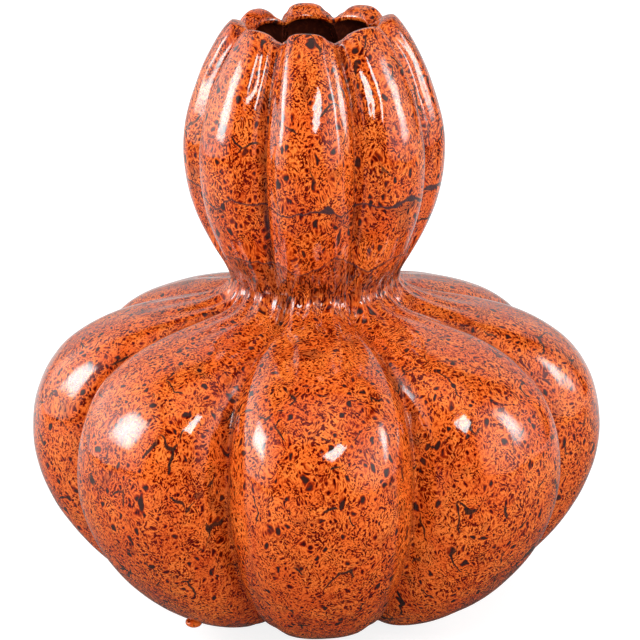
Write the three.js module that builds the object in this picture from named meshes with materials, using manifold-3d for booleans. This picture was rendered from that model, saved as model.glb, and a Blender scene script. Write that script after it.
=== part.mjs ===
// A lobed double-gourd vase in glazed stoneware. It stands on +Z, with the centre of its foot at the origin.
// Eight lobes run without a break from the foot, over the belly, through the waist and the bulb, to a scalloped
// mouth. The pot is made as potters make a double gourd: the belly and the bulb are formed apart and luted
// together at the waist with slip, a turned foot ring is luted under the floor, and one bead of glaze has run
// down a lobe and set there. Sizes are in millimetres.
import * as THREE from "three";
import { mergeVertices } from "three/addons/utils/BufferGeometryUtils.js";
import Module from "manifold-3d";

const LOBES = 8;
const WALL = 5; // of the belly and the bulb
const LIP_THICKNESS = 3.6; // of the wall where it turns in to the mouth
const SLIP_FILM = 0.3; // between two luted pieces

const FOOT_RADIUS = 45;
const FOOT_WIDTH = 8;
const FOOT_HEIGHT = 6.7;
const FOOT_TAPER = 1.5; // how far the ring's outer side leans in towards the ground
const FOOT_EDGE = 0.9; // radius of the ring's two lower edges
const FLOOR_THICKNESS = 5.5;
const FLOOR_COVE = 3; // how softly the wall runs into the floor inside
const SEAT_MARGIN = 2; // flat ground of the floor outside the foot ring

// Each lobe's crest is measured from the axis and the ground, and its crease is given by its depth below it.
const LOBE_SETBACK = 6; // from the floor's flat ground out to the lowest line of a lobe
const LOBE_CLEARANCE = 2.2; // between that line and the ground
const UNDERSIDE_CREASE = 2.1;
const UNDERSIDE_CREASE_RISE = 6.8;

const BELLY_RADIUS = 142.4;
const BELLY_HEIGHT = 92; // above the ground
const BELLY_CREASE = 27.3;

const SHOULDER_RISE = 67.4; // above the belly's widest line
const SHOULDER_CREASE = 9.9;
const SHOULDER_CREASE_FALL = 3.1;
const SHOULDER_SLOPE = 12; // degrees above the level
const NECK_FLARE = 16.4; // from the waist out to the shoulder
const NECK_RISE = 10.6; // above the shoulder

const WAIST_RADIUS = 42.9;
const WAIST_CREASE = 2.1;

const BULB_RADIUS = 64.8;
const BULB_RISE = 65; // above the waist
const BULB_CREASE = 12.9;

const MOUTH_RADIUS = 30.4; // of the last line of the outside, before the lip's rounded edge
const MOUTH_CREASE = 0.6;
const MOUTH_CREASE_FALL = 2.5;
const MOUTH_SLOPE = 42; // degrees below the level
const LIP_ROLL = 8.6; // from the mouth out to the highest line of a lobe
const LIP_DIP = 5.7; // from that line down to the mouth
const RIM_RISE = 65; // above the bulb's widest line
const RIM_CREASE = 4.4;
const RIM_CREASE_FALL = 8.3;

const LOBE_SQUARENESS = 2.3; // 2 makes a lobe's section an ellipse, more makes it fuller
const CREASE_CRISPNESS = 0.78; // 0.5 makes a crease's sides steep, 1 makes them slope

const DRIP_LOBE = -1; // lobes round from the front one, which is 0
const DRIP_REACH = 85; // from the axis
const DRIP_WIDTH = 11;
const DRIP_HEIGHT = 8;
const DRIP_HANG = 0.6; // of its middle below the lobe's skin

const BELLY_GLAZE = new THREE.MeshStandardMaterial({ color: 0xd9501e, roughness: 0.12, metalness: 0 });
const BULB_GLAZE = new THREE.MeshStandardMaterial({ color: 0xe05a20, roughness: 0.12, metalness: 0 });
const DRIP_GLAZE = new THREE.MeshStandardMaterial({ color: 0xc8381a, roughness: 0.08, metalness: 0 });
const BARE_CLAY = new THREE.MeshStandardMaterial({ color: 0xa47654, roughness: 0.85, metalness: 0 });

// A station is a line round the vase: its crests, its creases, which way the skin travels there, and the wall.
function station(radius, height, crease, creaseRise, travel, wall = WALL) {
  const way = THREE.MathUtils.degToRad(travel);
  return {
    crest: new THREE.Vector2(radius, height),
    crease: new THREE.Vector2(radius - crease, height + creaseRise),
    travel: new THREE.Vector2(Math.cos(way), Math.sin(way)),
    wall,
  };
}

const OUTWARDS = 0;
const UPWARDS = 90;
const INWARDS = 180;
const floorRadius = FOOT_RADIUS + SEAT_MARGIN;
const floorUnderside = FOOT_HEIGHT + SLIP_FILM;
const shoulderHeight = BELLY_HEIGHT + SHOULDER_RISE;
const waistHeight = shoulderHeight + NECK_RISE;
const bulbHeight = waistHeight + BULB_RISE;
const rimHeight = bulbHeight + RIM_RISE;

const seat = station(floorRadius, floorUnderside, 0, 0, OUTWARDS);
const underside = station(
  floorRadius + LOBE_SETBACK, LOBE_CLEARANCE, UNDERSIDE_CREASE, UNDERSIDE_CREASE_RISE, OUTWARDS,
);
const belly = station(BELLY_RADIUS, BELLY_HEIGHT, BELLY_CREASE, 0, UPWARDS);
const shoulder = station(
  WAIST_RADIUS + NECK_FLARE, shoulderHeight, SHOULDER_CREASE, -SHOULDER_CREASE_FALL, INWARDS - SHOULDER_SLOPE,
);
const waist = station(WAIST_RADIUS, waistHeight, WAIST_CREASE, 0, UPWARDS);
const bulb = station(BULB_RADIUS, bulbHeight, BULB_CREASE, 0, UPWARDS);
const rim = station(MOUTH_RADIUS + LIP_ROLL, rimHeight, RIM_CREASE, -RIM_CREASE_FALL, INWARDS, LIP_THICKNESS);
const mouth = station(
  MOUTH_RADIUS, rimHeight - LIP_DIP, MOUTH_CREASE, -MOUTH_CREASE_FALL, INWARDS + MOUTH_SLOPE, LIP_THICKNESS,
);

// The curve of one line between two stations. leave and arrive say how far it keeps to each station's travel.
function bend(from, to, line, leave, arrive) {
  const chord = to[line].clone().sub(from[line]);
  const start = from.travel.clone().multiplyScalar(leave * Math.abs(chord.dot(from.travel)));
  const end = to.travel.clone().multiplyScalar(arrive * Math.abs(chord.dot(to.travel)));
  return new THREE.CubicBezierCurve(
    from[line], from[line].clone().add(start), to[line].clone().sub(end), to[line],
  );
}

// A stretch is the skin between two stations.
function stretch(from, to, { leave, arrive, rows }) {
  return {
    crest: bend(from, to, "crest", leave, arrive),
    crease: bend(from, to, "crease", leave, arrive),
    wall: (along) => THREE.MathUtils.lerp(from.wall, to.wall, along),
    rows,
  };
}

const bellyUnderside = stretch(underside, belly, { leave: 0.48, arrive: 0.47, rows: 9 });
const bellySkin = [
  stretch(seat, underside, { leave: 0.45, arrive: 0.5, rows: 2 }),
  bellyUnderside,
  stretch(belly, shoulder, { leave: 0.715, arrive: 0.49, rows: 9 }),
  stretch(shoulder, waist, { leave: 0.45, arrive: 0.5, rows: 4 }),
];
const lip = stretch(rim, mouth, { leave: 0.5, arrive: 0.3, rows: 2 });
const bulbSkin = [
  stretch(waist, bulb, { leave: 0.12, arrive: 0.6, rows: 8 }),
  stretch(bulb, rim, { leave: 0.43, arrive: 0.2, rows: 9 }),
  lip,
];

// Share of the way out from crease to crest, where across is 0 on the crest and 1 in the crease.
function swell(across) {
  return Math.pow(Math.max(0, 1 - Math.pow(across, LOBE_SQUARENESS)), CREASE_CRISPNESS);
}

const LOBE_ANGLE = (2 * Math.PI) / LOBES;

// A point of the skin. turn is measured round from the front, and a lobe's crest faces the front.
function skinPoint(part, along, turn) {
  const beside = turn - LOBE_ANGLE * Math.round(turn / LOBE_ANGLE);
  const share = swell(Math.abs(beside) / (LOBE_ANGLE / 2));
  const at = part.crease.getPoint(along).lerp(part.crest.getPoint(along), share);
  return new THREE.Vector3(at.x * Math.sin(turn), -at.x * Math.cos(turn), at.y);
}

const PROBE = 1e-3; // step of the slopes below, in stretches and in radians

function skinNormal(part, along, turn) {
  const before = skinPoint(part, Math.max(0, along - PROBE), turn);
  const after = skinPoint(part, Math.min(1, along + PROBE), turn);
  const left = skinPoint(part, along, turn - PROBE);
  const right = skinPoint(part, along, turn + PROBE);
  return right.sub(left).cross(after.sub(before)).normalize();
}

// Turns of the points in one row. They lie closer together beside the creases.
const HALF_LOBE_COLUMNS = 5;
const turns = [];
for (let lobe = 0; lobe < LOBES; lobe += 1) {
  for (let column = 1 - HALF_LOBE_COLUMNS; column <= HALF_LOBE_COLUMNS; column += 1) {
    const across = Math.sin((column / HALF_LOBE_COLUMNS) * (Math.PI / 2));
    turns.push((lobe + across / 2) * LOBE_ANGLE);
  }
}

// One row of points, moved off the skin along its normals. A negative offset goes into the wall.
function skinRow(part, along, offset) {
  return turns.map((turn) => skinPoint(part, along, turn).addScaledVector(skinNormal(part, along, turn), offset));
}

function outsideRows(skin, offset = 0) {
  const rows = [];
  skin.forEach((part, index) => {
    for (let row = index === 0 ? 0 : 1; row <= part.rows; row += 1) {
      rows.push(skinRow(part, row / part.rows, offset));
    }
  });
  return rows;
}

// The inside has half as many rows, and runs from the top down.
function liningRows(skin) {
  const rows = [];
  skin.forEach((part, index) => {
    const count = Math.ceil(part.rows / 2);
    for (let row = index === 0 ? 0 : 1; row <= count; row += 1) {
      rows.unshift(skinRow(part, row / count, -part.wall(row / count)));
    }
  });
  return rows;
}

// A closed surface through rows of equal length. Each end is a point on the axis, or else the rows meet.
function loft(rows, firstCentre, lastCentre) {
  const columns = rows[0].length;
  const points = rows.flat();
  const faces = [];
  const closed = !firstCentre;
  const bands = closed ? rows.length : rows.length - 1;
  for (let row = 0; row < bands; row += 1) {
    const here = row * columns;
    const next = ((row + 1) % rows.length) * columns;
    for (let i = 0; i < columns; i += 1) {
      const j = (i + 1) % columns;
      faces.push(here + i, here + j, next + j, here + i, next + j, next + i);
    }
  }
  if (!closed) {
    const first = points.push(firstCentre) - 1;
    const last = points.push(lastCentre) - 1;
    const top = (rows.length - 1) * columns;
    for (let i = 0; i < columns; i += 1) {
      const j = (i + 1) % columns;
      faces.push(first, j, i, last, top + i, top + j);
    }
  }
  const geometry = new THREE.BufferGeometry().setFromPoints(points).setIndex(faces);
  geometry.computeVertexNormals();
  return geometry;
}

function onAxis(height) {
  return new THREE.Vector3(0, 0, height);
}

function levelAt(row, height) {
  for (const point of row) point.z = height;
}

// Lifts a lining point that would lie in the floor, with a cove between wall and floor.
const floorTop = floorUnderside + FLOOR_THICKNESS;
function liftToFloor(point) {
  const over = point.z - floorTop;
  point.z = floorTop + (over + Math.hypot(over, FLOOR_COVE)) / 2;
  return point;
}

function makeLowerGourd() {
  const outside = outsideRows(bellySkin);
  const lining = liningRows(bellySkin).map((row) => row.map(liftToFloor));
  levelAt(outside.at(-1), waistHeight - SLIP_FILM / 2);
  levelAt(lining[0], waistHeight - SLIP_FILM / 2);
  return loft([...outside, ...lining], onAxis(floorUnderside), onAxis(floorTop));
}

// Half a turn from the outside to the lining, round the end of the wall.
const LIP_ROWS = 3;
function lipEdgeRows() {
  const radius = LIP_THICKNESS / 2;
  const rows = [];
  for (let row = 1; row <= LIP_ROWS; row += 1) {
    const round = (Math.PI * row) / (LIP_ROWS + 1);
    rows.push(turns.map((turn) => {
      const end = skinPoint(lip, 1, turn);
      const onwards = end.clone().sub(skinPoint(lip, 1 - PROBE, turn)).normalize();
      return end
        .addScaledVector(skinNormal(lip, 1, turn), radius * (Math.cos(round) - 1))
        .addScaledVector(onwards, radius * Math.sin(round));
    }));
  }
  return rows;
}

function makeUpperGourd() {
  const outside = outsideRows(bulbSkin);
  const lining = liningRows(bulbSkin);
  levelAt(outside[0], waistHeight + SLIP_FILM / 2);
  levelAt(lining.at(-1), waistHeight + SLIP_FILM / 2);
  return loft([...outside, ...lipEdgeRows(), ...lining]);
}

const FOOT_SEGMENTS = 64;
const EDGE_STEPS = 2;
function makeFootRing() {
  const inside = FOOT_RADIUS - FOOT_WIDTH;
  const toe = FOOT_RADIUS - FOOT_TAPER;
  const profile = new THREE.Path();
  profile.moveTo(inside, FOOT_HEIGHT);
  profile.lineTo(inside, FOOT_EDGE);
  profile.absarc(inside + FOOT_EDGE, FOOT_EDGE, FOOT_EDGE, Math.PI, 1.5 * Math.PI);
  profile.lineTo(toe - FOOT_EDGE, 0);
  profile.absarc(toe - FOOT_EDGE, FOOT_EDGE, FOOT_EDGE, -Math.PI / 2, 0);
  profile.lineTo(FOOT_RADIUS, FOOT_HEIGHT);
  profile.closePath();
  return new THREE.LatheGeometry(profile.getPoints(EDGE_STEPS), FOOT_SEGMENTS).rotateX(Math.PI / 2);
}

const wasm = await Module();
wasm.setup();

function toSolid(geometry) {
  const bare = geometry.clone().deleteAttribute("normal").deleteAttribute("uv");
  const merged = mergeVertices(bare);
  return new wasm.Manifold(new wasm.Mesh({
    numProp: 3,
    vertProperties: merged.attributes.position.array,
    triVerts: new Uint32Array(merged.index.array),
  }));
}

function toGeometry(solid) {
  const { vertProperties, triVerts } = solid.getMesh();
  const geometry = new THREE.BufferGeometry();
  geometry.setAttribute("position", new THREE.BufferAttribute(vertProperties, 3));
  geometry.setIndex(new THREE.BufferAttribute(triVerts, 1));
  geometry.computeVertexNormals();
  return geometry;
}

// How far along the belly's underside the skin is at this distance from the axis, found by halving.
const HALVINGS = 30;
function alongUnderside(turn, reach) {
  let near = 0;
  let far = 1;
  for (let halving = 0; halving < HALVINGS; halving += 1) {
    const middle = (near + far) / 2;
    const { x, y } = skinPoint(bellyUnderside, middle, turn);
    if (Math.hypot(x, y) < reach) near = middle;
    else far = middle;
  }
  return near;
}

// The bead is an egg of glaze, cut to lie a slip film off the lobe that it hangs from.
const BEAD_COLUMNS = 18;
const BEAD_ROWS = 12;
function makeGlazeDrip() {
  const turn = DRIP_LOBE * LOBE_ANGLE;
  const along = alongUnderside(turn, DRIP_REACH);
  const middle = skinPoint(bellyUnderside, along, turn);
  middle.addScaledVector(skinNormal(bellyUnderside, along, turn), DRIP_HANG);
  const egg = new THREE.SphereGeometry(1 / 2, BEAD_COLUMNS, BEAD_ROWS).scale(DRIP_WIDTH, DRIP_WIDTH, DRIP_HEIGHT);
  egg.translate(middle.x, middle.y, middle.z);
  const pot = loft(outsideRows(bellySkin, SLIP_FILM), onAxis(floorUnderside - SLIP_FILM), onAxis(waistHeight));
  return toGeometry(toSolid(egg).subtract(toSolid(pot)));
}

function named(name, geometry, material) {
  const mesh = new THREE.Mesh(geometry, material);
  mesh.name = name;
  return mesh;
}

const vase = new THREE.Group();
vase.name = "double_gourd_vase";
vase.add(named("foot_ring", makeFootRing(), BARE_CLAY));
vase.add(named("lower_gourd", makeLowerGourd(), BELLY_GLAZE));
vase.add(named("upper_gourd", makeUpperGourd(), BULB_GLAZE));
vase.add(named("glaze_drip", makeGlazeDrip(), DRIP_GLAZE));

export default vase;
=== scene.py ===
"""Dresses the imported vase: two lobed gourds in speckled glaze, a run of glaze, a foot and a studio."""

import math

import bmesh
import bpy
import numpy as np
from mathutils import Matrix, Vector


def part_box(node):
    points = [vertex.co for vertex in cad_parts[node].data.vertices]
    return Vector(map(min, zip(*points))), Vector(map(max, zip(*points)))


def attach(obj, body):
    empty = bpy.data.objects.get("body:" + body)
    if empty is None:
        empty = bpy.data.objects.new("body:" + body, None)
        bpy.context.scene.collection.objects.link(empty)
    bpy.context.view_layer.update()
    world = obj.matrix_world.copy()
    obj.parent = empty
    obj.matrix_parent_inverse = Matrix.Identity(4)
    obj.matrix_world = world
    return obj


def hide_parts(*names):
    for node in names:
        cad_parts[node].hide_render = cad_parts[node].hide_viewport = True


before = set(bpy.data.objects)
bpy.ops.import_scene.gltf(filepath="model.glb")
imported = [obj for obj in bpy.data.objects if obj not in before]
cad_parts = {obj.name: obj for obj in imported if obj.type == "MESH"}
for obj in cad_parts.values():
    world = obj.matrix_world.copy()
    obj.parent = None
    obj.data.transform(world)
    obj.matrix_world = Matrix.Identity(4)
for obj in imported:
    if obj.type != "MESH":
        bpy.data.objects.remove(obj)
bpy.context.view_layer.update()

bl_info = {
    "name": "Lobed double-gourd vase",
    "version": (1, 0, 0),
    "blender": (4, 5, 0),
    "location": "3D View > Sidebar > Vase",
    "description": "Builds the glazed skin of a lobed double-gourd vase round its frame",
    "category": "Add Mesh",
}

MM = 0.001
BODY = "root"

# What the frame says of the pieces, in metres
_, foot_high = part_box("foot_ring")
belly_low, belly_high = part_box("lower_gourd")
bulb_low, bulb_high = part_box("upper_gourd")
drip_low, drip_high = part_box("glaze_drip")
SEAM_HEIGHT = (belly_high.z + bulb_low.z) / 2
SLIP_FILM = bulb_low.z - belly_high.z
SEAT_HEIGHT = foot_high.z + SLIP_FILM


# Properties

def number(name, description, default, **more):
    return bpy.props.FloatProperty(name=name, description=description, default=default, **more)


def length(name, description, millimetres):
    return number(name, description, millimetres * MM, min=0.0, precision=4, unit="LENGTH")


def angle(name, description, degrees):
    return number(name, description, math.radians(degrees), precision=2, subtype="ANGLE")


def share(name, description, default):
    return number(name, description, default, min=0.0, max=1.0, subtype="FACTOR")


def plain(name, description, default):
    return number(name, description, default, min=0.0)


def colour(name, description, red, green, blue):
    return bpy.props.FloatVectorProperty(
        name=name, description=description, default=(red, green, blue),
        min=0.0, max=1.0, size=3, subtype="COLOR",
    )


class VaseForm(bpy.types.PropertyGroup):
    """Sizes of the lobed wall that the frame's boxes don't give"""

    lobes: bpy.props.IntProperty(
        name="Lobes", description="Lobes round the vase", default=8, min=3, max=24,
    )
    wall: length("Wall", "Thickness of the wall below the mouth", 5)
    lip_thickness: length("Lip thickness", "Thickness of the wall at the mouth", 3.6)
    floor_thickness: length("Floor thickness", "Clay over the foot ring", 5.5)
    seat_margin: length("Seat margin", "Flat ground outside the foot ring", 2)
    lobe_setback: length("Lobe setback", "From the flat ground out to a lobe's lowest line", 6)
    underside_crease: length("Underside crease", "Depth of the creases under the belly", 2.1)
    underside_rise: length("Underside rise", "How far the creases lie above the lobes", 6.8)
    belly_height: length("Belly height", "Height of the belly's widest line", 92)
    belly_crease: length("Belly crease", "Depth of the creases at the belly's widest line", 27.3)
    shoulder_rise: length("Shoulder rise", "From the belly's widest line up to the shoulder", 67.4)
    shoulder_crease: length("Shoulder crease", "Depth of the creases on the shoulder", 9.9)
    shoulder_fall: length("Shoulder fall", "How far the creases lie below the lobes", 3.1)
    shoulder_slope: angle("Shoulder slope", "How steeply the shoulder reaches the neck", 12)
    neck_flare: length("Neck flare", "From the waist out to the shoulder", 16.4)
    waist_radius: length("Waist radius", "Radius of the lobes at the waist", 42.9)
    waist_crease: length("Waist crease", "Depth of the creases at the waist", 2.1)
    bulb_rise: length("Bulb rise", "From the waist up to the bulb's widest line", 65)
    bulb_crease: length("Bulb crease", "Depth of the creases at the bulb's widest line", 12.9)
    rim_crease: length("Rim crease", "Depth of the creases at the top line", 4.4)
    rim_fall: length("Rim fall", "How far the creases lie below the lobes", 6.6)
    mouth_radius: length("Mouth radius", "Where the lip's rounded edge starts", 30.4)
    mouth_crease: length("Mouth crease", "Depth of the creases in the mouth", 0.6)
    mouth_fall: length("Mouth fall", "How far the creases lie below the lobes", 2.2)
    mouth_slope: angle("Mouth slope", "How steeply the lip turns down", 72)
    lip_roll: length("Lip roll", "From the mouth out to a lobe's top line", 8.6)
    lip_dip: length("Lip dip", "From a lobe's top line down to the mouth", 5.2)
    squareness: plain("Squareness", "2 makes a lobe's section an ellipse, more makes it fuller", 2.8)
    crispness: plain("Crispness", "0.5 makes the sides of a crease steep, 1 makes them slope", 0.78)
    crease_softness: share("Crease softness", "Share of half a lobe that rounds a crease", 0.035)
    rim_softness: share("Rim softness", "The same share, added over the rolled lip", 0.20)
    lobe_turn: angle("Lobe turn", "How far round the whole ring of lobes sits", 0.25)
    lobe_drift: angle("Lobe drift", "How far the creases stray from even spacing", 1.3)
    undulation: length("Undulation", "Depth of the hand-smoothed unevenness", 1.3)
    undulation_size: length("Undulation size", "Width of one swell of the unevenness", 30)
    bulb_lean: angle("Bulb lean", "How far the bulb's crests stray sideways", 1.2)
    bulb_skew: angle("Bulb skew", "How far the bulb's creases on the left stray backwards", 7)
    rim_skew: angle("Rim skew", "How far the rim's front and back creases stray to the left", 5.5)
    rim_tilt: length("Rim tilt", "Average fall of the rim, half of its greatest", 0.8)
    flute_depth: length("Flute depth", "Depth of the finger marks beside the creases", 0.9)
    pleat_depth: length("Pleat depth", "Depth of the small pleats round the waist", 1.9)


class GlazeFinish(bpy.types.PropertyGroup):
    """Colours and marks of the glaze"""

    ground: colour("Ground", "Main orange of the glaze", 0.77, 0.147, 0.020)
    ground_warm: colour("Warm ground", "Yellower orange where the glaze is thick", 0.83, 0.197, 0.031)
    # Red ground is also painted shade: the glaze mixes more of it in low down and over the waist
    ground_red: colour("Red ground", "Deeper red where the glaze is thin", 0.66, 0.088, 0.011)
    iron_stain: colour("Iron stain", "What one measure of iron leaves of white light", 0.70, 0.50, 0.40)
    drip_speck: colour("Drip specks", "Specks in the run of glaze", 0.10, 0.005, 0.001)
    blot: colour("Blots", "Larger dark blots", 0.024, 0.010, 0.008)
    patch: colour("Patches", "Brown where the glaze pools", 0.17, 0.030, 0.012)
    bare_body: colour("Bare body", "Dark body that shows between two coats", 0.040, 0.018, 0.022)
    lip_edge: colour("Lip edge", "Thin pale line along the lip", 0.42, 0.14, 0.07)
    lining: colour("Lining", "Dark glaze inside the vase", 0.085, 0.016, 0.009)
    speck_spacing: length("Speck spacing", "Usual distance between specks", 0.66)
    ring_spacing: length("Ring spacing", "Distance between rings of specks", 1.35)
    eye_spacing: length("Eye spacing", "Distance between the rings' centres", 16)
    spot_spacing: length("Spot spacing", "Usual distance between dark spots", 5.6)
    crack_spacing: length("Crack spacing", "Size of the net that the thin dark lines follow", 23)
    gloss_roughness: share("Roughness", "Roughness of the fired gloss", 0.045)


class StudioSetup(bpy.types.PropertyGroup):
    """Camera and lamps"""

    distance: length("Distance", "From the camera to the vase's axis", 1588.5)
    aim_height: length("Aim height", "Height on the axis that the camera looks at", 150)
    elevation: angle("Elevation", "Height of the camera over the level", 16.18)
    roll: angle("Roll", "How far the camera leans", 0.51)
    left_lamp: plain("Left lamp", "Radiance of the softbox on the left, where white paper is 1", 13.0)
    right_lamp: plain("Right lamp", "Radiance of the softbox on the right", 11.5)
    front_lamp: plain("Front lamp", "Radiance of the softbox over the camera", 14.0)
    front_fill: plain("Front fill", "Radiance of the soft lamp by the camera, not mirrored", 1.4)
    side_fill: plain("Side fill", "Radiance of such lamps at the sides, before their shares", 2.15)
    top_fill: plain("Top fill", "Radiance of such a lamp overhead", 1.45)
    left_screen: plain("Left screen", "Radiance of the mirrored screen on the left", 2.8)
    right_screen: plain("Right screen", "Radiance of the mirrored screen on the right", 1.8)
    fill: plain("Fill", "Radiance of the room where it lights the vase", 0.44)
    backdrop: plain("Backdrop", "Radiance of the mirrored paper behind the vase", 0.62)
    ceiling: plain("Ceiling", "Radiance of the mirrored ceiling", 0.42)
    room: plain("Room", "Radiance of the mirrored dark room in front", 0.025)


# Node trees

class Field:
    """A socket of a node tree that takes part in Python arithmetic."""

    def __init__(self, tree, socket):
        self.tree = tree
        self.socket = socket

    def math(self, operation, *others):
        return self.tree.math(operation, self, *others)

    def __add__(self, other):
        return self.math("ADD", other)

    __radd__ = __add__

    def __sub__(self, other):
        return self.math("SUBTRACT", other)

    def __rsub__(self, other):
        return self.tree.math("SUBTRACT", other, self)

    def __mul__(self, other):
        return self.math("MULTIPLY", other)

    __rmul__ = __mul__

    def __truediv__(self, other):
        return self.math("DIVIDE", other)

    def __rtruediv__(self, other):
        return self.tree.math("DIVIDE", other, self)

    def __pow__(self, other):
        return self.math("POWER", other)

    def out(self, name):
        """Another output of the node that this socket belongs to."""
        return Field(self.tree, next(s for s in self.socket.node.outputs if s.name == name and s.enabled))


class Tree:
    """A node tree with one method for every node, and a few shapes of arithmetic."""

    def __init__(self, node_tree):
        self.node_tree = node_tree

    def node(self, kind, settings=None, *values, **named):
        made = self.node_tree.nodes.new(kind)
        for key, value in (settings or {}).items():
            setattr(made, key, value)
        sockets = [socket for socket in made.inputs if socket.enabled]
        for socket, value in zip(sockets, values):
            self.feed(socket, value)
        for key, value in named.items():
            name = key.replace("_", " ")
            self.feed(next(s for s in sockets if s.name == name), value)
        outputs = [socket for socket in made.outputs if socket.enabled]
        return Field(self, outputs[0]) if outputs else made

    def feed(self, socket, value):
        if isinstance(value, Field):
            self.node_tree.links.new(value.socket, socket)
        elif socket.type == "RGBA" and len(value) == 3:
            socket.default_value = (*value, 1.0)
        else:
            socket.default_value = value

    def math(self, operation, *values):
        return self.node("ShaderNodeMath", {"operation": operation}, *values)

    def step(self, value, low, high, start=0.0, end=1.0):
        """Eases from start to end while value runs from low to high."""
        settings = {"interpolation_type": "SMOOTHSTEP"}
        return self.node("ShaderNodeMapRange", settings, value, low, high, start, end)

    def bell(self, value, middle, reach):
        """1 where value is at middle, easing to 0 at reach on either side."""
        return self.step((value - middle).math("ABSOLUTE"), 0.0, reach, 1.0, 0.0)

    def highest(self, first, *others):
        for other in others:
            first = first.math("MAXIMUM", other)
        return first

    def noise(self, place, size, detail=1.0, seed=0.0, **more):
        """Smooth noise between about 0.2 and 0.8, with swells of the given size."""
        settings = {"noise_dimensions": "4D"}
        return self.node("ShaderNodeTexNoise", settings, place, seed, 1.0 / size, detail, **more)

    def stirred(self, place, size, reach):
        """The place moved about by noise, by up to about half the reach."""
        colour = self.node("ShaderNodeTexNoise", {}, place, 1.0 / size, 1.0).out("Color")
        offset = self.vector("SUBTRACT", colour, (0.5, 0.5, 0.5))
        return self.vector("ADD", place, self.scaled(offset, reach))

    def mix_vector(self, factor, first, second):
        return self.node("ShaderNodeMix", {"data_type": "VECTOR"}, factor, first, second)

    def mix_colour(self, factor, first, second):
        return self.node("ShaderNodeMix", {"data_type": "RGBA"}, factor, first, second)

    def vector(self, operation, *values, **named):
        return self.node("ShaderNodeVectorMath", {"operation": operation}, *values, **named)

    def scaled(self, vector, factor):
        return self.vector("SCALE", vector, Scale=factor)

    def place(self):
        """Where the shaded point lies in its object."""
        return self.node("ShaderNodeTexCoord").out("Object")

    def cells(self, place, scale, feature="F1"):
        return self.node("ShaderNodeTexVoronoi", {"feature": feature}, place, scale)

    def parts(self, vector):
        x = self.node("ShaderNodeSeparateXYZ", {}, vector)
        return x, x.out("Y"), x.out("Z")

    def joined(self, x, y, z):
        return self.node("ShaderNodeCombineXYZ", {}, x, y, z)


class GeometryTree(Tree):
    """A Geometry Nodes tree with named inputs."""

    def __init__(self, name, inputs):
        super().__init__(bpy.data.node_groups.new(name, "GeometryNodeTree"))
        interface = self.node_tree.interface
        interface.new_socket("Geometry", in_out="INPUT", socket_type="NodeSocketGeometry")
        for title, kind in inputs.items():
            interface.new_socket(title, in_out="INPUT", socket_type=kind)
        interface.new_socket("Geometry", in_out="OUTPUT", socket_type="NodeSocketGeometry")
        self.group_input = self.node("NodeGroupInput")

    def input(self, name):
        return self.group_input.out(name)

    def named(self, name, kind="FLOAT"):
        return self.node("GeometryNodeInputNamedAttribute", {"data_type": kind}, name)

    def sampled(self, geometry, value, index, kind="FLOAT"):
        return self.node("GeometryNodeSampleIndex", {"data_type": kind}, geometry, value, index)

    def store(self, geometry, name, value):
        return self.node("GeometryNodeStoreNamedAttribute", {}, geometry, Name=name, Value=value)

    def finish(self, geometry):
        geometry = self.node("GeometryNodeRealizeInstances", {}, geometry)
        geometry = self.node("GeometryNodeSetMaterial", {}, geometry, Material=self.input("Material"))
        self.node("NodeGroupOutput", {}, geometry)


def run_tree(tree, piece, **values):
    """Runs a geometry tree on a piece and leaves the result as the piece's own plain mesh."""
    modifier = piece.modifiers.new("shape", "NODES")
    modifier.node_group = tree.node_tree
    for item in tree.node_tree.interface.items_tree:
        key = item.name.lower().replace(" ", "_")
        if item.in_out == "INPUT" and key in values:
            modifier[item.identifier] = values.pop(key)
    if values:
        raise RuntimeError(f"{tree.node_tree.name} has no input for {sorted(values)}")
    depsgraph = bpy.context.evaluated_depsgraph_get()
    shaped = bpy.data.meshes.new_from_object(
        piece.evaluated_get(depsgraph), preserve_all_data_layers=True, depsgraph=depsgraph,
    )
    piece.modifiers.remove(modifier)
    source = piece.data
    piece.data = shaped
    shaped.name = piece.name
    bpy.data.meshes.remove(source)


# The lobed wall

OUTWARDS = 0.0
UPWARDS = math.pi / 2
INWARDS = math.pi


class Station:
    """A line round the vase: its crests, its creases, which way the skin travels there, and the wall."""

    def __init__(self, radius, height, crease, crease_rise, travel, wall):
        self.crest = np.array([radius, height])
        self.crease = np.array([radius - crease, height + crease_rise])
        self.travel = np.array([math.cos(travel), math.sin(travel)])
        self.wall = wall


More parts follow.
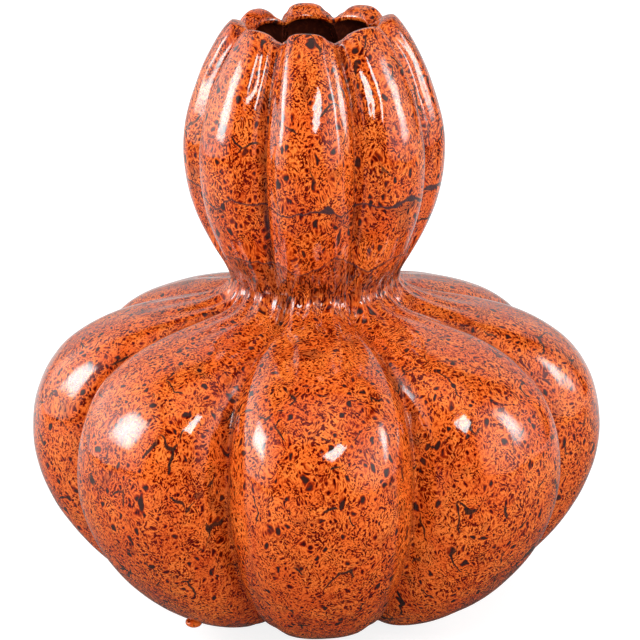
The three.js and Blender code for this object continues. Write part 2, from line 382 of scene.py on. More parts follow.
class Outline:
    """Crest and crease lines of one gourd, row by row, out along the skin and back along the lining."""

    def __init__(self):
        self.points = {"crest": [], "crease": []}
        self.outward = {"crest": [], "crease": []}
        self.walls = []
        self.skin = []
        self.softening = []

    def follow(self, start, end, leave, arrive, steps, softening=0.0):
        """Adds the skin between two stations, at steps from 0 to 1."""
        for line in self.points:
            here, there = getattr(start, line), getattr(end, line)
            chord = there - here
            handles = (
                here + start.travel * leave * abs(chord @ start.travel),
                there - end.travel * arrive * abs(chord @ end.travel),
            )
            at, way = bezier(here, *handles, there, steps)
            self.points[line].extend(at)
            self.outward[line].extend(np.column_stack([way[:, 1], -way[:, 0]]))
        self.walls.extend(start.wall + (end.wall - start.wall) * steps)
        self.skin.extend(np.ones(len(steps)))
        self.softening.extend(np.broadcast_to(softening, len(steps)))

    def round_the_lip(self, rows):
        """Adds half a turn round the end of the wall."""
        turns = np.pi * np.arange(1, rows + 1) / (rows + 1)
        radius = self.walls[-1] / 2
        for line in self.points:
            end, normal = self.points[line][-1], self.outward[line][-1]
            onward = np.array([-normal[1], normal[0]])
            for turn in turns:
                outward = normal * math.cos(turn) + onward * math.sin(turn)
                self.points[line].append(end + (outward - normal) * radius)
                self.outward[line].append(outward)
        self.skin.extend(1.0 - turns / np.pi)
        self.softening.extend([1.0] * rows)

    def line_it(self, every, adjust=lambda point: point):
        """Adds the lining: every so many rows of the skin, moved in through the wall, last row first."""
        rows = len(self.walls)
        chosen = sorted({0, rows - 1, *range(0, rows, every)}, reverse=True)
        for line in self.points:
            for row in chosen:
                moved = self.points[line][row] - self.outward[line][row] * self.walls[row]
                self.points[line].append(adjust(moved))
                self.outward[line].append(-self.outward[line][row])
        self.skin.extend([0.0] * len(chosen))
        self.softening.extend([self.softening[row] for row in chosen])

    def meet_axis(self, index, height, outward, skin):
        """Puts in a row on the axis, at the start or at the end."""
        for line in self.points:
            self.points[line].insert(index, np.array([0.0, height]))
            self.outward[line].insert(index, np.array([0.0, outward]))
        self.skin.insert(index, skin)
        self.softening.insert(index, 0.0)

    def mesh(self, name):
        """The two lines as loose points, crests first, with what the tree reads of each."""
        points = np.array(self.points["crest"] + self.points["crease"])
        outward = np.array(self.outward["crest"] + self.outward["crease"])
        mesh = bpy.data.meshes.new(name)
        mesh.vertices.add(len(points))
        flat = np.zeros((len(points), 3))
        flat[:, [0, 2]] = points
        mesh.vertices.foreach_set("co", flat.ravel())
        flat[:, [0, 2]] = outward
        mesh.attributes.new("outward", "FLOAT_VECTOR", "POINT").data.foreach_set("vector", flat.ravel())
        for title, values in (("skin", self.skin), ("softening", self.softening)):
            mesh.attributes.new(title, "FLOAT", "POINT").data.foreach_set("value", np.tile(values, 2))
        return mesh


def bezier(start, first, second, end, steps):
    """Points and unit directions of a cubic curve."""
    t = steps[:, None]
    u = 1 - t
    at = u**3 * start + 3 * u**2 * t * first + 3 * u * t**2 * second + t**3 * end
    way = u**2 * (first - start) + 2 * u * t * (second - first) + t**2 * (end - second)
    return at, way / np.linalg.norm(way, axis=1)[:, None]


def stations(form):
    """The vase's eight stations, from the edge of the foot's seat to the mouth."""
    seat_radius = foot_high.x + form.seat_margin
    shoulder_height = form.belly_height + form.shoulder_rise
    wall, lip = form.wall, form.lip_thickness
    return {
        "seat": Station(seat_radius, SEAT_HEIGHT, 0, 0, OUTWARDS, wall),
        "underside": Station(
            seat_radius + form.lobe_setback, belly_low.z, form.underside_crease, form.underside_rise,
            OUTWARDS, wall,
        ),
        "belly": Station(belly_high.x, form.belly_height, form.belly_crease, 0, UPWARDS, wall),
        "shoulder": Station(
            form.waist_radius + form.neck_flare, shoulder_height,
            form.shoulder_crease, -form.shoulder_fall, INWARDS - form.shoulder_slope, wall,
        ),
        "waist": Station(form.waist_radius, SEAM_HEIGHT, form.waist_crease, 0, UPWARDS, wall),
        "bulb": Station(bulb_high.x, SEAM_HEIGHT + form.bulb_rise, form.bulb_crease, 0, UPWARDS, wall),
        "rim": Station(
            form.mouth_radius + form.lip_roll, bulb_high.z, form.rim_crease, -form.rim_fall, INWARDS, lip,
        ),
        "mouth": Station(
            form.mouth_radius, bulb_high.z - form.lip_dip, form.mouth_crease, -form.mouth_fall,
            INWARDS + form.mouth_slope, lip,
        ),
    }


SEAM_STEP = 0.01  # a row this close to the seam keeps the two gourds' shading in line


def spread(rows, first=False, seam_at=None):
    """Even steps from 0 to 1, with one more beside the seam if there is one."""
    steps = np.linspace(0, 1, rows + 1)
    if seam_at is not None:
        steps = np.sort(np.append(steps, abs(seam_at - SEAM_STEP)))
    return steps if first else steps[1:]


def belly_outline(form):
    at = stations(form)
    outline = Outline()
    outline.follow(at["seat"], at["underside"], leave=0.45, arrive=0.5, steps=spread(8, first=True))
    outline.follow(at["underside"], at["belly"], leave=0.48, arrive=0.47, steps=spread(52))
    outline.follow(at["belly"], at["shoulder"], leave=0.715, arrive=0.49, steps=spread(50))
    outline.follow(at["shoulder"], at["waist"], leave=0.45, arrive=0.5, steps=spread(18, seam_at=1))
    floor_top = SEAT_HEIGHT + form.floor_thickness
    cove = 3 * MM

    def lift(point):
        over = point[1] - floor_top
        top = floor_top + (over + math.hypot(over, cove)) / 2
        return np.array([point[0], min(top, SEAM_HEIGHT)])

    outline.line_it(every=4, adjust=lift)
    outline.meet_axis(0, SEAT_HEIGHT, outward=-1.0, skin=1.0)
    outline.meet_axis(len(outline.skin), floor_top, outward=1.0, skin=0.0)
    return outline


def bulb_outline(form):
    at = stations(form)
    outline = Outline()
    at_waist = spread(44, first=True, seam_at=0)
    to_rim = spread(44)
    outline.follow(at["waist"], at["bulb"], leave=0.12, arrive=0.6, steps=at_waist)
    outline.follow(at["bulb"], at["rim"], leave=0.43, arrive=0.2, steps=to_rim, softening=to_rim**9)
    outline.follow(at["rim"], at["mouth"], leave=0.5, arrive=0.35, steps=spread(14), softening=1.0)
    outline.round_the_lip(rows=9)
    outline.line_it(every=3, adjust=lambda point: np.array([point[0], max(point[1], SEAM_HEIGHT)]))
    return outline


COLUMNS_PER_LOBE = 62
BUNCHING = 0.7  # how much closer columns stand beside the creases, from 0 to 1
MERGE_DISTANCE = 0.002 * MM
CORNER_ANGLE = math.radians(60)  # sharper edges stay corners

# Where marks of hand work lie, with azimuths from the front lobe to the right
SKEWED_SIDE = math.radians(-60)
RIM_HIGH_SIDE = math.radians(105)
RIM_TILT_REACH = 80 * MM  # below the rim
RIM_SKEW_REACH = 34 * MM
FLUTE_WIDTH = 0.18  # as a share of half a lobe
PLEATS_PER_LOBE = 4
PLEAT_HEIGHT = SEAM_HEIGHT - 5 * MM
PLEAT_REACH = 15 * MM

# Sizes that the wall's tree takes, on both gourds and on the bulb alone
WALL_SIZES = (
    "squareness", "crispness", "crease_softness", "rim_softness", "lobe_turn", "lobe_drift",
    "undulation", "undulation_size", "flute_depth", "pleat_depth",
)
BULB_SIZES = ("bulb_lean", "bulb_skew", "rim_skew", "rim_tilt")


def lobed_wall_tree():
    """Turns crest and crease lines into a closed lobed wall."""
    rim_height = bulb_high.z
    inputs = dict.fromkeys(("Rows", "Columns", "Lobes"), "NodeSocketInt")
    for name in (*WALL_SIZES, *BULB_SIZES, "pleat_height"):
        inputs[name.replace("_", " ").title()] = "NodeSocketFloat"
    tree = GeometryTree("lobed_wall", {**inputs, "Material": "NodeSocketMaterial"})
    lines = tree.input("Geometry")
    rows = tree.input("Rows")
    lobes = tree.input("Lobes")
    grid = tree.node("GeometryNodeMeshGrid", {}, 1.0, 1.0, tree.input("Columns") + 1, rows)
    across_grid, along_grid, _ = tree.parts(tree.node("GeometryNodeInputPosition"))

    # Columns stand closer together beside the creases
    wave = (across_grid * lobes * math.tau).math("SINE")
    around = across_grid + wave * BUNCHING / (lobes * math.tau)
    across = (around * lobes).math("PINGPONG", 0.5) * 2

    # How far out a point lies between crease and crest
    row = ((along_grid + 0.5) * (rows - 1)).math("ROUND")
    softening = tree.sampled(lines, tree.named("softening"), row)
    softness = tree.input("Crease Softness") + softening * tree.input("Rim Softness")
    from_crease = ((1 - across) ** 2 + softness**2) ** 0.5

    def bulge(distance):
        side = (1 - distance).math("MAXIMUM", 0.0) ** tree.input("Squareness")
        return (1 - side) ** tree.input("Crispness")

    lowest = bulge(softness)
    swell = (bulge(from_crease) - lowest) / (1 - lowest)

    place = tree.node("GeometryNodeInputPosition")
    facing = tree.named("outward", "FLOAT_VECTOR")

    def crease_and_crest(value):
        return [tree.sampled(lines, value, index, "FLOAT_VECTOR") for index in (row + rows, row)]

    flat = tree.mix_vector(swell, *crease_and_crest(place))
    crease_depth = tree.vector("DISTANCE", *crease_and_crest(place))
    outward = tree.vector("NORMALIZE", tree.mix_vector(swell, *crease_and_crest(facing)))
    skin = tree.sampled(lines, tree.named("skin"), row)
    full_turn = around * math.tau
    drift = tree.input("Lobe Drift") * (full_turn + math.pi / 4).math("SINE")
    lean = tree.input("Bulb Lean") * (full_turn * 3).math("COSINE") * swell
    _, _, height = tree.parts(flat)
    near_rim = tree.step(height, rim_height - RIM_SKEW_REACH, rim_height - 4 * MM)
    skewed = (0.5 + 0.5 * (full_turn - SKEWED_SIDE).math("COSINE")) ** 3
    bulb_skew = skewed * tree.input("Bulb Skew")
    rim_skew = full_turn.math("COSINE") * tree.input("Rim Skew")
    skew = bulb_skew * (1 - near_rim) + rim_skew * near_rim
    turn = full_turn + tree.input("Lobe Turn") + drift - lean - skew

    def turned(vector):
        settings = {"rotation_type": "Z_AXIS"}
        return tree.node("ShaderNodeVectorRotate", settings, vector, Angle=turn - math.pi / 2)

    # Hand-smoothed unevenness and the pleats where the waist was drawn in
    even = turned(flat)
    broad = tree.noise(even, tree.input("Undulation Size"), 2.0, 3.0, Roughness=0.45)
    pleat_height = tree.input("Pleat Height")
    wander = tree.noise(even, 26 * MM, 1.0, 8.0)
    fold = (around * lobes * PLEATS_PER_LOBE * math.tau + wander * 9).math("COSINE") * 0.5 + 0.5
    pleats = fold * tree.bell(height, pleat_height, PLEAT_REACH) * (wander * 1.8 - 0.2)
    wobble = tree.noise(even, 38 * MM, 1.0, 5.0)
    flutes = tree.bell(1 - across, 0.13 + wobble * 0.36, FLUTE_WIDTH)
    flutes = flutes * tree.step(crease_depth, 2 * MM, 7 * MM)
    flutes = flutes * (1 - tree.bell(height, pleat_height - 20 * MM, 34 * MM))
    marks = flutes * tree.input("Flute Depth") + pleats * tree.input("Pleat Depth")
    sink = (broad * tree.input("Undulation") + marks) * tree.step(skin, 0.3, 0.9)
    spot = turned(tree.vector("SUBTRACT", flat, tree.scaled(outward, sink)))
    lowness = 1 - (full_turn - RIM_HIGH_SIDE).math("COSINE")
    tilt = lowness * tree.input("Rim Tilt") * tree.step(height, rim_height - RIM_TILT_REACH, rim_height)
    spot = tree.vector("SUBTRACT", spot, tree.joined(0.0, 0.0, tilt))

    # Both attributes are stored while the grid is still flat, because they are read off its positions
    wall = tree.store(grid, "skin", skin)
    wall = tree.store(wall, "crease", 1 - swell)
    wall = tree.node("GeometryNodeSetPosition", {}, wall, Position=spot)
    wall = tree.node("GeometryNodeMergeByDistance", {}, wall, Distance=MERGE_DISTANCE)
    wall = tree.node("GeometryNodeSetShadeSmooth", {"domain": "FACE"}, wall)
    sharp = tree.node("GeometryNodeInputMeshEdgeAngle")
    is_corner = tree.node("FunctionNodeCompare", {"operation": "GREATER_THAN"}, sharp, CORNER_ANGLE)
    wall = tree.node("GeometryNodeSetShadeSmooth", {"domain": "EDGE"}, wall, is_corner, False)
    tree.finish(wall)
    return tree


def add_piece(context, name, mesh):
    piece = bpy.data.objects.new(name, mesh)
    context.scene.collection.objects.link(piece)
    return piece


def settle(piece, node):
    """Makes a finished piece stand for its CAD node and move with it."""
    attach(piece, BODY)
    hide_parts(node)


def make_gourd(context, node, slot, outline_of, bulb_share, unevenness):
    """Builds a gourd's glazed skin. What only the bulb has counts by the bulb's share."""
    scene = context.scene
    form = scene.vase_form
    outline = outline_of(form)
    sizes = {key: getattr(form, key) for key in WALL_SIZES}
    sizes.update((key, getattr(form, key) * bulb_share) for key in BULB_SIZES)
    name = f"{node}_glazed"
    piece = add_piece(context, name, outline.mesh(name))
    material = glaze_material(slot, scene.vase_glaze, unevenness)
    run_tree(
        lobed_wall_tree(), piece,
        rows=len(outline.skin), columns=COLUMNS_PER_LOBE * form.lobes, lobes=form.lobes,
        pleat_height=PLEAT_HEIGHT, material=material, **sizes,
    )
    settle(piece, node)


# Materials

LAP_HEIGHT = SEAM_HEIGHT + 46.5 * MM  # where one coat of glaze ends on the bulb
ROLL_HEIGHT = SEAM_HEIGHT + 17 * MM  # where another ends in rolls over the waist


def fresh_tree(owner):
    """An empty node tree on a material, lamp or world."""
    owner.use_nodes = True
    owner.node_tree.nodes.clear()
    return Tree(owner.node_tree)


def new_material(name):
    material = bpy.data.materials.new(name)
    return material, fresh_tree(material)


def finish_material(tree, constants, **fields):
    """Ends a tree with a Principled shader whose constants sit on its own sockets."""
    shader = tree.node("ShaderNodeBsdfPrincipled", {}, **fields)
    for name, value in constants.items():
        tree.feed(shader.socket.node.inputs[name], value)
    tree.node("ShaderNodeOutputMaterial", {}, shader)


def relief_normal(tree, strength, depth, height):
    return tree.node("ShaderNodeBump", {}, Strength=strength, Distance=depth, Height=height)


def spot_pattern(tree, glaze, place):
    """Spots in some cells of a net: returns dark cores, tiny cores, fringes and clear rings."""

    def spots(spacing, seed, reach, keep, stretch):
        shifted = tree.vector("MULTIPLY_ADD", place, (1.0, 1.0, stretch), (seed, seed, seed))
        cells = tree.cells(shifted, 1 / spacing)
        chance, size, _ = tree.parts(cells.out("Color"))
        from_edge = cells * spacing - (size * 0.8 + 0.4) * reach
        kept = tree.step(chance, keep, keep - 0.01)
        core = tree.step(from_edge, 0.05 * MM, -0.35 * MM) * kept
        fringe = tree.step(from_edge, 0.45 * MM, -0.15 * MM) * kept
        return core, fringe, tree.step(from_edge, 1.5 * MM, 0.5 * MM) * kept

    gap = glaze.spot_spacing
    tiny, tiny_fringe, tiny_ring = spots(gap * 0.5, seed=0.1, reach=0.80 * MM, keep=0.55, stretch=0.85)
    small, small_fringe, small_ring = spots(gap, seed=0.3, reach=1.35 * MM, keep=0.8, stretch=0.8)
    large, large_fringe, large_ring = spots(gap * 2.1, seed=0.7, reach=1.4 * MM, keep=0.6, stretch=0.45)
    fringe = tree.highest(tiny_fringe, small_fringe, large_fringe)
    return tree.highest(small, large), tiny, fringe, tree.highest(tiny_ring, small_ring, large_ring)


def crack_pattern(tree, glaze, drawn, stirred, height):
    """Thin dark lines that follow parts of a net, thick where three of them meet."""
    flattened = tree.vector("MULTIPLY", stirred, (1.0, 1.0, 0.75))
    place = tree.stirred(flattened, 14 * MM, 9 * MM)
    net = tree.cells(place, 1 / glaze.crack_spacing, "DISTANCE_TO_EDGE")
    at_waist = tree.bell(height, SEAM_HEIGHT, 30 * MM)
    at_lap = tree.bell(height, LAP_HEIGHT + 3.5 * MM, 20 * MM)
    broken = tree.step(tree.noise(drawn, 12 * MM, 1.0, 12.0), 0.50, 0.60) * (1 - at_waist) * (1 - at_lap)
    return tree.step(net * glaze.crack_spacing - broken * 0.45 * MM, 0.10 * MM, -0.15 * MM) * broken


def lap_pattern(tree, level, x, height, base, seed, sway, reach, gaps):
    """The edge where one coat of glaze laps over another, with bare gaps, and a brown zone under it."""
    wedge = tree.bell(x, 7.5 * MM, 6 * MM) * 2.6 * MM * gaps
    edge = base + (tree.noise(level, 17 * MM, 0.0, seed) - 0.5) * sway + wedge
    edge = edge + (tree.noise(level, 4.5 * MM, 1.0, seed + 1) - 0.5) * 4 * MM
    coat_under = base - 0.2 * MM + (tree.noise(level, 11 * MM, 1.0, seed + 2) - 0.5) * sway * 0.9
    over = edge - height
    gap = tree.step(over, -0.1 * MM, 0.3 * MM) * tree.step(height - coat_under, -0.1 * MM, 0.3 * MM)
    drawn_here = tree.step(tree.noise(level, 13 * MM, 0.0, seed + 3), 0.24, 0.32)
    line = tree.bell(over, 0.1 * MM, 0.90 * MM) * drawn_here
    brown = tree.step(over, 0.0, 0.4 * MM) * tree.step(over, reach, 0.5 * MM)
    return tree.highest(gap * gaps, line), brown, over


def glaze_material(name, glaze, unevenness):
    """Speckled orange gloss with rings of specks, spots, thin cracks, pooled brown and a dark lining."""
    material, tree = new_material(name)
    noise, step, bell, highest, mix = tree.noise, tree.step, tree.bell, tree.highest, tree.mix_colour
    place = tree.place()
    x, y, height = tree.parts(place)
    crease = tree.node("ShaderNodeAttribute", {"attribute_name": "crease"}).out("Fac")
    skin = tree.node("ShaderNodeAttribute", {"attribute_name": "skin"}).out("Fac")
    on_bulb = step(height, SEAM_HEIGHT - 2 * MM, SEAM_HEIGHT + 3 * MM)

    # Marks run down the vase, most of all round the waist, so their pattern is drawn out there
    over_neck = highest(height - (SEAM_HEIGHT - 14 * MM), 0.0)
    over_roll = highest(height - (SEAM_HEIGHT + 26 * MM), 0.0)
    drawn = tree.joined(x, y, height * 0.85 - over_neck * 0.50 + over_roll * 0.44)
    stirred = tree.stirred(drawn, 9 * MM, 7 * MM)
    ruffled = tree.stirred(stirred, 2.2 * MM, 1.2 * MM)

    # Rings of specks run round scattered centres
    eyes = tree.cells(stirred, 1 / glaze.eye_spacing)
    sway = noise(drawn, 17 * MM, 1.0, 4.0) * 16 * MM
    rings = ((eyes * glaze.eye_spacing + sway) * (math.tau / glaze.ring_spacing)).math("SINE")
    crowding = noise(drawn, 22 * MM, 2.0, 9.0)
    pull = rings * 0.05 + (crowding - 0.5) * 0.30 + crease * 0.02 + on_bulb * 0.022

    def dotted(spacing, seed):
        """Separate specks of every size up to the spacing, and how crowded each place is with them."""
        beads = tree.cells(ruffled, 0.72 / spacing)
        chance, _, _ = tree.parts(beads.out("Color"))
        grain = noise(ruffled, spacing, 0.5, seed)
        dots = step(beads - (chance - 0.5) * 0.34 - pull * 1.3 - (grain - 0.5) * 0.8, 0.47, 0.37)
        return dots, grain + (0.5 - beads) * 0.22 + pull

    # Worm-like marks in some places, dots in others, larger dots most of all on the shoulder
    dots, crowded = dotted(glaze.speck_spacing, 2.0)
    large_dots, _ = dotted(glaze.speck_spacing * 1.8, 8.0)
    worms = step(crowded, 0.545, 0.600)
    is_dotted = step(noise(drawn, 15 * MM, 1.0, 34.0), 0.40, 0.54)
    on_shoulder = bell(height, SEAM_HEIGHT - 34 * MM, 36 * MM)
    largeness = noise(drawn, 19 * MM, 1.0, 37.0) + on_shoulder * 0.18 - on_bulb * 0.03
    coarse = noise(ruffled, glaze.speck_spacing * 1.8, 0.5, 7.0) + rings * 0.04
    specks = worms + (dots - worms) * is_dotted
    specks = specks + (large_dots - specks) * step(largeness, 0.56, 0.66)
    specks = highest(specks, step(coarse, 0.635, 0.675))

    # How much iron the glaze holds, in measures
    crumpled = tree.stirred(stirred, 2.4 * MM, 2.2 * MM)
    spots, tiny_spots, fringe, clear = spot_pattern(tree, glaze, crumpled)
    fine = noise(ruffled, glaze.speck_spacing * 0.6, 0.0, 5.0) + pull * 0.7
    dust = step(fine, 0.50, 0.66) * step(noise(stirred, 7 * MM, 1.0, 6.0), 0.34, 0.54)
    iron = step(crowded, 0.43, 0.54) * 0.6 + specks * 5.2 + dust * 1.4
    iron = iron * (1 - clear * 0.85) + fringe * 3.5 + tiny_spots * 4.0

    # One coat ends across the bulb, another in rolls over the waist
    level = tree.joined(x, y, 0.0)
    bare = step(x, -18 * MM, -8 * MM)
    lap_dark, lap_brown, lap_over = lap_pattern(
        tree, level, x, height, LAP_HEIGHT, seed=40.0, sway=14 * MM, reach=9 * MM, gaps=bare,
    )
    roll_dark, roll_brown, roll_over = lap_pattern(
        tree, level, x, height, ROLL_HEIGHT, seed=50.0, sway=22 * MM, reach=24 * MM, gaps=0.0,
    )
    run = step(crease, 0.80, 0.93) * bell(height, LAP_HEIGHT - 8.5 * MM, 11 * MM)
    run = run * step(noise(level, 30 * MM, 0.0, 44.0), 0.50, 0.54)
    lap_dark = highest(lap_dark, roll_dark * 0.9, run) * on_bulb
    over_waist = step(height, SEAM_HEIGHT - 12 * MM, SEAM_HEIGHT)
    brown_zone = highest(lap_brown, roll_brown) * over_waist

    # Brown pools in the creases, at the waist and in patches, and runs down from the rolls
    pooling = noise(stirred, 15 * MM, 3.0, 15.0)
    waist = bell(height, SEAM_HEIGHT + 3 * MM, 24 * MM)
    valley = step(crease, 0.55, 0.95)
    pooled = step(pooling + valley * 0.08 + waist * 0.07 + brown_zone * 0.13, 0.58, 0.70)
    streaks = noise(tree.joined(x, y, height * 0.12), 2.6 * MM, 2.0, 27.0)
    under_roll = step(roll_over, 0.0, 1.5 * MM) * bell(height, SEAM_HEIGHT + 4 * MM, 20 * MM)
    runs = step(streaks + under_roll * 0.10, 0.50, 0.62) * under_roll * 0.7

    # Painted shade: the ground is redder low down and over the waist, where less light falls, on top of
    # red that varies at random, and the iron darkens it
    tone = noise(drawn, 9 * MM, 2.0, 20.0)
    ground = mix(step(tone, 0.40, 0.62), glaze.ground, glaze.ground_warm)
    # Painted shade: these masks give more red ground low down and over the waist
    painted_shade_over_waist = bell(height, SEAM_HEIGHT + 22 * MM, 42 * MM)
    low = highest(step(height, 95 * MM, 25 * MM), painted_shade_over_waist)
    redness_and_painted_shade = step(noise(drawn, 24 * MM, 2.0, 23.0) + low * 0.08, 0.50, 0.70) * 0.6
    ground = mix(redness_and_painted_shade, ground, glaze.ground_red)
    browning = pooled * (step(tone, 0.35, 0.65) * 0.35 + 0.3)
    ground = mix(highest(browning, runs), ground, glaze.patch)
    left_over = (tree.math("POWER", part, iron) for part in glaze.iron_stain)
    surface = tree.vector("MULTIPLY", ground, tree.joined(*left_over))
    cracks = crack_pattern(tree, glaze, drawn, stirred, height)
    surface = mix(highest(spots, cracks) * 0.95, surface, glaze.blot)
    surface = mix(lap_dark * 0.95, surface, glaze.bare_body)

    # The lining is dark, with a little red where the light reaches it
    mottle = step(noise(stirred, 2 * MM, 2.0, 60.0), 0.48, 0.64) * 0.7
    lining = mix(mottle, glaze.lining, glaze.patch)
    lip_edge = mix(step(skin, 0.24, 0.30), lining, glaze.lip_edge)
    surface = mix(step(skin, 0.36, 0.46), lip_edge, surface)

    ripple = noise(place, 9 * MM, 2.0, 30.0) * 1.8 * unevenness
    small_ripple = noise(place, 2.4 * MM, 1.0, 31.0) * 0.07
    lapped = step(lap_over, 0.8 * MM, -0.4 * MM) * on_bulb
    relief = ripple + small_ripple + lapped * 0.5 - specks * 0.02
    finish_material(
        tree, {"IOR": 1.6, "Specular IOR Level": 0.5},
        Base_Color=surface,
        Roughness=step(pooling, 0.3, 0.7) * 0.02 + specks * 0.02 + glaze.gloss_roughness,
        Normal=relief_normal(tree, 0.5, 0.35 * MM, relief),
    )
    return material


def drip_material(glaze):
    """Thick run glaze: clear and red, with a few specks."""
    material, tree = new_material("run_glaze")
    place = tree.place()
    grain = tree.noise(place, 1.6 * MM, 2.0, 2.0)
    tone = tree.step(tree.noise(place, 4 * MM, 2.0), 0.4, 0.6)
    tint = tree.mix_colour(tone, glaze.ground_red, glaze.ground)
    finish_material(
        tree, {"IOR": 1.52},
        Base_Color=tree.mix_colour(tree.step(grain, 0.56, 0.62) * 0.9, tint, glaze.drip_speck),
        Roughness=0.04 + grain * 0.04,
        Normal=relief_normal(tree, 0.6, 0.3 * MM, tree.noise(place, 2.5 * MM)),
    )
    return material


CLAY_DARK = (0.30, 0.17, 0.095)
CLAY_PALE = (0.42, 0.27, 0.16)
CLAY_GRAIN = (0.05, 0.025, 0.018)


def clay_material():
    """Unglazed fired clay with turning lines and iron grains."""
    material, tree = new_material("bare_clay")
    place = tree.place()
    x, y, height = tree.parts(place)
    radius = (x * x + y * y) ** 0.5
    lines = tree.noise(tree.joined(radius, height, 0.0), 0.7 * MM, 2.0, 3.0)
    grog = tree.noise(place, 0.9 * MM, 3.0, 5.0)
    tone = tree.step(tree.noise(place, 14 * MM, 3.0), 0.35, 0.65)
    tint = tree.mix_colour(tone, CLAY_DARK, CLAY_PALE)
    finish_material(
        tree, {"IOR": 1.45},
        Base_Color=tree.mix_colour(tree.step(grog, 0.62, 0.70) * 0.8, tint, CLAY_GRAIN),
        Roughness=0.75 + lines * 0.2,
        Normal=relief_normal(tree, 0.6, 0.25 * MM, lines * 0.7 + grog * 0.5),
    )
    return material


# Operators

class VASE_OT_lower_gourd(bpy.types.Operator):
    """Builds the belly, its shoulder and the lower half of the waist"""

    bl_idname = "vase.lower_gourd"
    bl_label = "Lower gourd"

    def execute(self, context):
        make_gourd(context, "lower_gourd", "belly_glaze", belly_outline, bulb_share=0.0, unevenness=0.6)
        return {"FINISHED"}


class VASE_OT_upper_gourd(bpy.types.Operator):
    """Builds the bulb, the upper half of the waist and the scalloped mouth"""

    bl_idname = "vase.upper_gourd"
    bl_label = "Upper gourd"

    def execute(self, context):
        make_gourd(context, "upper_gourd", "bulb_glaze", bulb_outline, bulb_share=1.0, unevenness=1.0)
        return {"FINISHED"}


# The bead beside its solid: shares of its width and height, and how far it is moved
BEAD_WIDTH = 0.80
BEAD_HEIGHT = 0.69
BEAD_SHIFT = Vector((-0.4, 0.0, 1.0)) * MM


class VASE_OT_glaze_drip(bpy.types.Operator):
    """Builds the bead of run glaze under one lobe"""

    bl_idname = "vase.glaze_drip"
    bl_label = "Glaze drip"

    def execute(self, context):
        reach = (drip_high - drip_low) / 2
        middle = drip_high - reach + BEAD_SHIFT
        reach = Vector((reach.x * BEAD_WIDTH, reach.y * BEAD_WIDTH, reach.z * BEAD_HEIGHT))
        shape = bmesh.new()
        bmesh.ops.create_icosphere(shape, subdivisions=5, radius=1.0)
        for vert in shape.verts:
            swell = 1 - 0.10 * (1 + math.sin(5 * vert.co.x + 2)) * (1 + math.cos(4 * vert.co.y)) / 4
            spread_out = 1 + 0.14 * vert.co.z
            shaped = Vector((vert.co.x * spread_out, vert.co.y * spread_out, vert.co.z)) * swell
            vert.co = middle + Vector(a * b for a, b in zip(shaped, reach))
        mesh = bpy.data.meshes.new("glaze_drip_bead")
        shape.to_mesh(mesh)
        shape.free()
        mesh.shade_smooth()
        mesh.materials.append(drip_material(context.scene.vase_glaze))
        settle(add_piece(context, "glaze_drip_bead", mesh), "glaze_drip")
        return {"FINISHED"}


class VASE_OT_foot_ring(bpy.types.Operator):
    """Gives the turned foot ring its bare clay"""

    bl_idname = "vase.foot_ring"
    bl_label = "Foot ring"

    def execute(self, context):
        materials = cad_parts["foot_ring"].data.materials
        materials.clear()
        materials.append(clay_material())
        return {"FINISHED"}


FRAME_PIXELS = 640
SENSOR_WIDTH = 36.0
PIXELS_PER_METRE = 2015.0  # at the vase's axis
AIM_PIXEL_X = 315.3
AIM_PIXEL_Y = 313.1
FLOOR_REACH = 6.0
FLOOR_TONE = 0.29
# Painted light on the floor: a darker tone in the vase's reflections, and a paler one in the light it
# throws back at the vase
FLOOR_MIRRORED_TONE = 0.03
FLOOR_BOUNCE_TONE = 0.62  # where it throws light back at the vase
WHITE = (1.0, 1.0, 1.0, 1.0)


def grey(tone):
    return tone, tone, tone


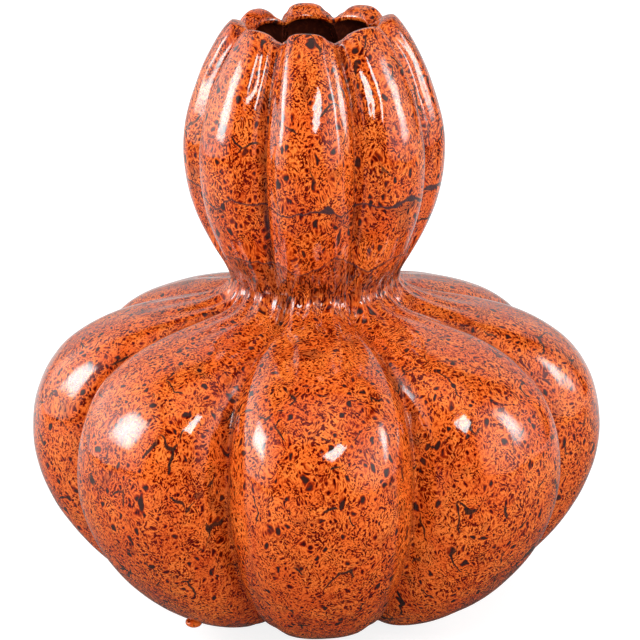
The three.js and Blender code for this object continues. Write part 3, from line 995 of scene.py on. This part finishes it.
class VASE_OT_studio(bpy.types.Operator):
    """Builds the floor, the lamps, the room and the camera"""

    bl_idname = "vase.studio"
    bl_label = "Studio"

    def execute(self, context):
        scene = context.scene
        setup = scene.vase_studio
        scene.view_settings.view_transform = "Standard"
        self.add_floor(context, setup)
        self.add_room(scene, setup)
        aim = Vector((0, 0, setup.aim_height))
        # Each lamp: azimuth, distance and height, then width and height, radiance, edge, and roll if any
        softboxes = (
            ("left_softbox", (-77, 0.80, 0.51), (0.46, 0.50), setup.left_lamp, 3),
            ("right_softbox", (80, 0.80, 0.49), (0.28, 0.56), setup.right_lamp, 1.8),
            ("front_softbox", (12, 0.57, 0.52), (0.24, 0.11), setup.front_lamp, 40, 48),
        )
        screens = (
            ("left_screen", (-92, 1.30, 0.62), (3.4, 2.4), setup.left_screen, 1.2),
            ("right_screen", (68, 1.30, 0.60), (3.2, 2.2), setup.right_screen, 1.2),
            ("ceiling", (10, 0.35, 1.50), (1.7, 1.5), setup.ceiling, 3),
        )
        fills = (
            ("front_fill", (-5, 1.30, 0.24), (1.30, 0.90), setup.front_fill, 3),
            ("left_fill", (-45, 1.20, 0.30), (1.00, 0.80), setup.side_fill * 0.50, 3),
            ("right_fill", (34, 1.20, 0.36), (1.00, 0.80), setup.side_fill * 1.20, 3),
            ("top_fill", (35, 0.55, 1.00), (0.90, 0.90), setup.top_fill, 3),
        )
        for row in softboxes:
            self.add_lamp(context, aim, *row)
        for row in screens:
            self.add_lamp(context, aim, *row).visible_diffuse = False
        self.add_lamp(context, aim, "backdrop", (180, 1.90, 1.10), (6.4, 2.6), setup.backdrop, 5)
        for row in fills:
            self.add_lamp(context, aim, *row).visible_glossy = False
        self.add_camera(context, aim, setup)
        return {"FINISHED"}

    def add_floor(self, context, setup):
        material, tree = new_material("pale_floor")
        path = tree.node("ShaderNodeLightPath")
        glossy = path.out("Is Glossy Ray")
        x, y, _ = tree.parts(tree.place())
        # Painted reflections: pools of glow left and right of the vase and on the floor behind it, seen
        # only in the vase's gloss
        pools = tree.bell(x, -0.62, 0.70) * 0.60 + tree.bell(x, 0.62, 0.70) * 0.35
        pools = pools * tree.bell(y, 0.0, 1.2) + tree.step(y, -0.05, 0.50) * setup.backdrop
        # Painted shade and light: the floor is darker in the vase's reflections and paler in the light it
        # throws back than it looks to the camera
        tint = tree.mix_colour(glossy, grey(FLOOR_TONE), grey(FLOOR_MIRRORED_TONE))
        tint = tree.mix_colour(path.out("Is Diffuse Ray"), tint, grey(FLOOR_BOUNCE_TONE))
        paper = tree.node("ShaderNodeBsdfDiffuse", {}, tint)
        # Painted shade: the floor's glow to the camera is dimmer near the vase, easing to full white half
        # a metre out
        outside_painted_shade = tree.step((x * x + y * y) ** 0.5, 0.25, 0.50)
        strength = path.out("Is Camera Ray") * (outside_painted_shade * 0.15 + 0.85) + glossy * pools
        glow = tree.node("ShaderNodeEmission", {}, WHITE, strength)
        tree.node("ShaderNodeOutputMaterial", {}, tree.node("ShaderNodeAddShader", {}, paper, glow))
        mesh = bpy.data.meshes.new("floor")
        corners = ((-1, -1), (1, -1), (1, 1), (-1, 1))
        mesh.from_pydata([(a * FLOOR_REACH, b * FLOOR_REACH, 0) for a, b in corners], [], [(0, 1, 2, 3)])
        mesh.materials.append(material)
        add_piece(context, "floor", mesh)

    def add_room(self, scene, setup):
        world = bpy.data.worlds.new("studio")
        tree = fresh_tree(world)
        path = tree.node("ShaderNodeLightPath")
        strength = path.out("Is Camera Ray") * (1.0 - setup.fill) + setup.fill
        strength = strength + path.out("Is Glossy Ray") * (setup.room - setup.fill)
        room = tree.node("ShaderNodeBackground", {}, WHITE, strength)
        tree.node("ShaderNodeOutputWorld", {}, room)
        scene.world = world

    def add_lamp(self, context, aim, name, stand, size, radiance, edge, roll=0):
        """A lamp that stands at an azimuth, a distance and a height. A low edge fades it to its sides."""
        azimuth, distance, height = stand
        light = bpy.data.lights.new(name, "AREA")
        light.shape = "RECTANGLE"
        light.size, light.size_y = size
        light.energy = radiance * math.pi * light.size * light.size_y
        tree = fresh_tree(light)
        across, up, _ = tree.parts(tree.node("ShaderNodeNewGeometry").out("Parametric"))

        def fade(value):
            return 1 - (value * 2 - 1).math("ABSOLUTE") ** edge

        glow = tree.node("ShaderNodeEmission", {}, WHITE, fade(across) * fade(up))
        tree.node("ShaderNodeOutputLight", {}, glow)
        lamp = bpy.data.objects.new(name, light)
        turn = math.radians(azimuth)
        lamp.location = (math.sin(turn) * distance, -math.cos(turn) * distance, height)
        lamp.rotation_euler = (lamp.location - aim).to_track_quat("Z", "Y").to_euler()
        lamp.rotation_euler.rotate_axis("Z", math.radians(roll))
        context.scene.collection.objects.link(lamp)
        return lamp

    def add_camera(self, context, aim, setup):
        data = bpy.data.cameras.new("camera")
        data.sensor_width = SENSOR_WIDTH
        data.lens = SENSOR_WIDTH * PIXELS_PER_METRE * setup.distance / FRAME_PIXELS
        data.shift_x = (FRAME_PIXELS / 2 - AIM_PIXEL_X) / FRAME_PIXELS
        data.shift_y = (AIM_PIXEL_Y - FRAME_PIXELS / 2) / FRAME_PIXELS
        camera = bpy.data.objects.new("camera", data)
        back = Vector((0, -math.cos(setup.elevation), math.sin(setup.elevation)))
        camera.location = aim + back * setup.distance
        facing = (-back).to_track_quat("-Z", "Y").to_matrix().to_4x4()
        facing.translation = camera.location
        camera.matrix_world = facing
        camera.rotation_euler.rotate_axis("Z", -setup.roll)
        context.scene.collection.objects.link(camera)
        context.scene.camera = camera


OPERATORS = (
    VASE_OT_studio, VASE_OT_lower_gourd, VASE_OT_upper_gourd, VASE_OT_glaze_drip, VASE_OT_foot_ring,
)


class VASE_PT_sidebar(bpy.types.Panel):
    """Lists the vase's pieces and sizes"""

    bl_label = "Vase"
    bl_idname = "VASE_PT_sidebar"
    bl_space_type = "VIEW_3D"
    bl_region_type = "UI"
    bl_category = "Vase"

    def draw(self, context):
        for operator in OPERATORS:
            self.layout.operator(operator.bl_idname)
        for group in (context.scene.vase_form, context.scene.vase_glaze, context.scene.vase_studio):
            box = self.layout.box()
            for name in group.__annotations__:
                box.prop(group, name)


GROUPS = {"vase_form": VaseForm, "vase_glaze": GlazeFinish, "vase_studio": StudioSetup}
CLASSES = (*GROUPS.values(), *OPERATORS, VASE_PT_sidebar)


def register():
    for made in CLASSES:
        bpy.utils.register_class(made)
    for name, group in GROUPS.items():
        setattr(bpy.types.Scene, name, bpy.props.PointerProperty(type=group))


def unregister():
    for name in GROUPS:
        delattr(bpy.types.Scene, name)
    for made in reversed(CLASSES):
        bpy.utils.unregister_class(made)


def main():
    register()
    for operator in OPERATORS:
        getattr(bpy.ops.vase, operator.bl_idname.removeprefix("vase."))()


if __name__ == "__main__":
    main()
